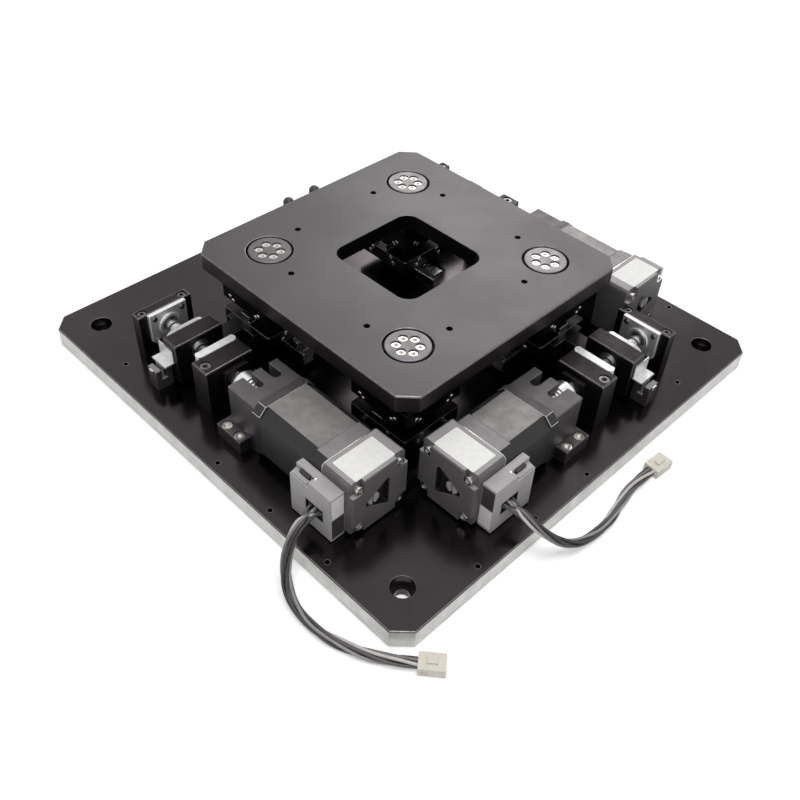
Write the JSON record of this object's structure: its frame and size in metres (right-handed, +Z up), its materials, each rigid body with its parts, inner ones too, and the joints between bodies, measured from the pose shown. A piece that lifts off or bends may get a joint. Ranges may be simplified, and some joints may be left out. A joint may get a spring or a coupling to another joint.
{
  "type": "xyr alignment stage",
  "caption": "Flat motorised stage: ball-screw drives on a square base shift and turn an open-centred top plate on corner modules with crossed guides and bearings.",
  "frame": {"origin": "centre of the base plate's underside", "axes": "+Z up, +X along the two long motor drives towards their motors, +Y towards the rear drive"},
  "size_m": [0.3749, 0.3758, 0.082],
  "materials": {
    "base_anodised": "black anodised, satin",
    "top_anodised": "dark grey anodised, satin",
    "module_anodised": "black anodised, matte",
    "block_anodised": "black anodised, satin",
    "bracket_anodised": "grey anodised, matte",
    "cap_aluminium": "grey anodised, satin",
    "bright_plate": "machined, bright",
    "coupling_aluminium": "turned, bright",
    "bearing_steel": "ground",
    "screw_steel": "rolled, polished",
    "fastener_steel": "nickel plated",
    "nut_steel": "ground",
    "motor_iron": "dark grey, satin",
    "cover_plastic": "grey, fine texture",
    "box_plastic": "light grey, fine texture",
    "sensor_plastic": "dark grey",
    "lead_rubber": "dark insulated leads",
    "plug_nylon": "natural nylon"
  },
  "bodies": {
    "base": {"base_plate": "base_anodised", "guide_rails": "bearing_steel", "fixed_screws": "fastener_steel", "limit_switches": "sensor_plastic", "motor_bracket_x1": "bracket_anodised", "motor_body_x1": "motor_iron", "encoder_cover_x1": "cover_plastic", "connector_box_x1": "box_plastic", "bearing_block_x1": "block_anodised", "end_block_x1": "block_anodised", "retainer_plates_x1": "bright_plate", "motor_bracket_x2": "bracket_anodised", "motor_body_x2": "motor_iron", "encoder_cover_x2": "cover_plastic", "connector_box_x2": "box_plastic", "bearing_block_x2": "block_anodised", "end_block_x2": "block_anodised", "retainer_plates_x2": "bright_plate", "motor_bracket_y": "bracket_anodised", "motor_body_y": "motor_iron", "encoder_cover_y": "cover_plastic", "connector_box_y": "box_plastic", "bearing_block_y": "block_anodised", "end_block_y": "block_anodised", "retainer_plates_y": "bright_plate", "cable_x1": "lead_rubber", "cable_plug_x1": "plug_nylon", "cable_y": "lead_rubber", "cable_plug_y": "plug_nylon"},
    "carriage_a": {"carriage_plate_a": "module_anodised", "lower_guide_a": "bearing_steel", "nut_bracket_x1": "block_anodised", "ball_nut_x1": "nut_steel"},
    "hub_a": {"hub_a": "module_anodised", "bearing_cap_a": "cap_aluminium"},
    "carriage_b": {"carriage_plate_b": "module_anodised", "lower_guide_b": "bearing_steel"},
    "hub_b": {"hub_b": "module_anodised", "bearing_cap_b": "cap_aluminium"},
    "carriage_c": {"carriage_plate_c": "module_anodised", "lower_guide_c": "bearing_steel", "nut_bracket_y": "block_anodised", "ball_nut_y": "nut_steel"},
    "hub_c": {"hub_c": "module_anodised", "bearing_cap_c": "cap_aluminium"},
    "carriage_d": {"carriage_plate_d": "module_anodised", "lower_guide_d": "bearing_steel", "nut_bracket_x2": "block_anodised", "ball_nut_x2": "nut_steel"},
    "hub_d": {"hub_d": "module_anodised", "bearing_cap_d": "cap_aluminium"},
    "stage_top": {"top_plate": "top_anodised", "bearing_housings": "module_anodised"},
    "screw_x1": {"ball_screw_x1": "screw_steel", "coupling_x1": "coupling_aluminium"},
    "screw_y": {"ball_screw_y": "screw_steel", "coupling_y": "coupling_aluminium"},
    "lock_nut_x2": {"lock_nut_x2": "nut_steel"},
    "screw_x2": {"ball_screw_x2": "screw_steel", "coupling_x2": "coupling_aluminium"}
  },
  "joints": [
    {"name": "x_slide", "type": "slide", "parent": "base", "child": "carriage_a", "axis": [1, 0, 0], "range_m": [-0.005, 0.005]},
    {"name": "y_slide", "type": "slide", "parent": "base", "child": "carriage_c", "axis": [0, 1, 0], "range_m": [-0.005, 0.005]},
    {"name": "x_follow_slide", "type": "slide", "parent": "base", "child": "carriage_b", "axis": [1, 0, 0], "range_m": [-0.005, 0.005]},
    {"name": "y_follow_slide", "type": "slide", "parent": "carriage_b", "child": "hub_b", "axis": [0, 1, 0], "range_m": [-0.005, 0.005]},
    {"name": "stage_turn", "type": "hinge", "parent": "hub_b", "child": "stage_top", "pos_m": [0.064, -0.064, 0.068], "axis": [0, 0, 1], "range_deg": [-2, 2]},
    {"name": "x2_slide", "type": "slide", "parent": "carriage_a", "child": "carriage_d", "axis": [1, 0, 0], "range_m": [-0.00452, 0.00452]},
    {"name": "hub_a_turn", "type": "hinge", "parent": "stage_top", "child": "hub_a", "pos_m": [-0.064, -0.064, 0.068], "axis": [0, 0, 1], "range_deg": [-2, 2]},
    {"name": "hub_c_turn", "type": "hinge", "parent": "stage_top", "child": "hub_c", "pos_m": [0.064, 0.064, 0.068], "axis": [0, 0, 1], "range_deg": [-2, 2]},
    {"name": "hub_d_turn", "type": "hinge", "parent": "stage_top", "child": "hub_d", "pos_m": [-0.064, 0.064, 0.068], "axis": [0, 0, 1], "range_deg": [-2, 2]},
    {"name": "screw_x1_spin", "type": "hinge", "parent": "base", "child": "screw_x1", "pos_m": [0, -0.1275, 0.0365], "axis": [1, 0, 0], "range_deg": [-360, 360]},
    {"name": "screw_y_spin", "type": "hinge", "parent": "base", "child": "screw_y", "pos_m": [0.1275, 0, 0.0365], "axis": [0, 1, 0], "range_deg": [-360, 360]},
    {"name": "lock_nut_x2_spin", "type": "hinge", "parent": "base", "child": "lock_nut_x2", "pos_m": [0, 0.1275, 0.0365], "axis": [1, 0, 0], "range_deg": [-360, 360]},
    {"name": "screw_x2_spin", "type": "hinge", "parent": "lock_nut_x2", "child": "screw_x2", "pos_m": [0, 0.1275, 0.0365], "axis": [1, 0, 0], "range_deg": [-322.2, 322.2]}
  ],
  "couplings": [
    {"joint": "x_follow_slide", "follows": "x_slide", "ratio": 1},
    {"joint": "y_follow_slide", "follows": "y_slide", "ratio": 1},
    {"joint": "x2_slide", "follows": "stage_turn", "m_per_rad": -0.128},
    {"joint": "hub_a_turn", "follows": "stage_turn", "ratio": -1},
    {"joint": "hub_c_turn", "follows": "stage_turn", "ratio": -1},
    {"joint": "hub_d_turn", "follows": "stage_turn", "ratio": -1},
    {"joint": "screw_x1_spin", "follows": "x_slide", "rad_per_m": 1256.6},
    {"joint": "screw_y_spin", "follows": "y_slide", "rad_per_m": 1256.6},
    {"joint": "lock_nut_x2_spin", "follows": "x_slide", "rad_per_m": 1256.6},
    {"joint": "screw_x2_spin", "follows": "stage_turn", "ratio": -160.85}
  ]
}
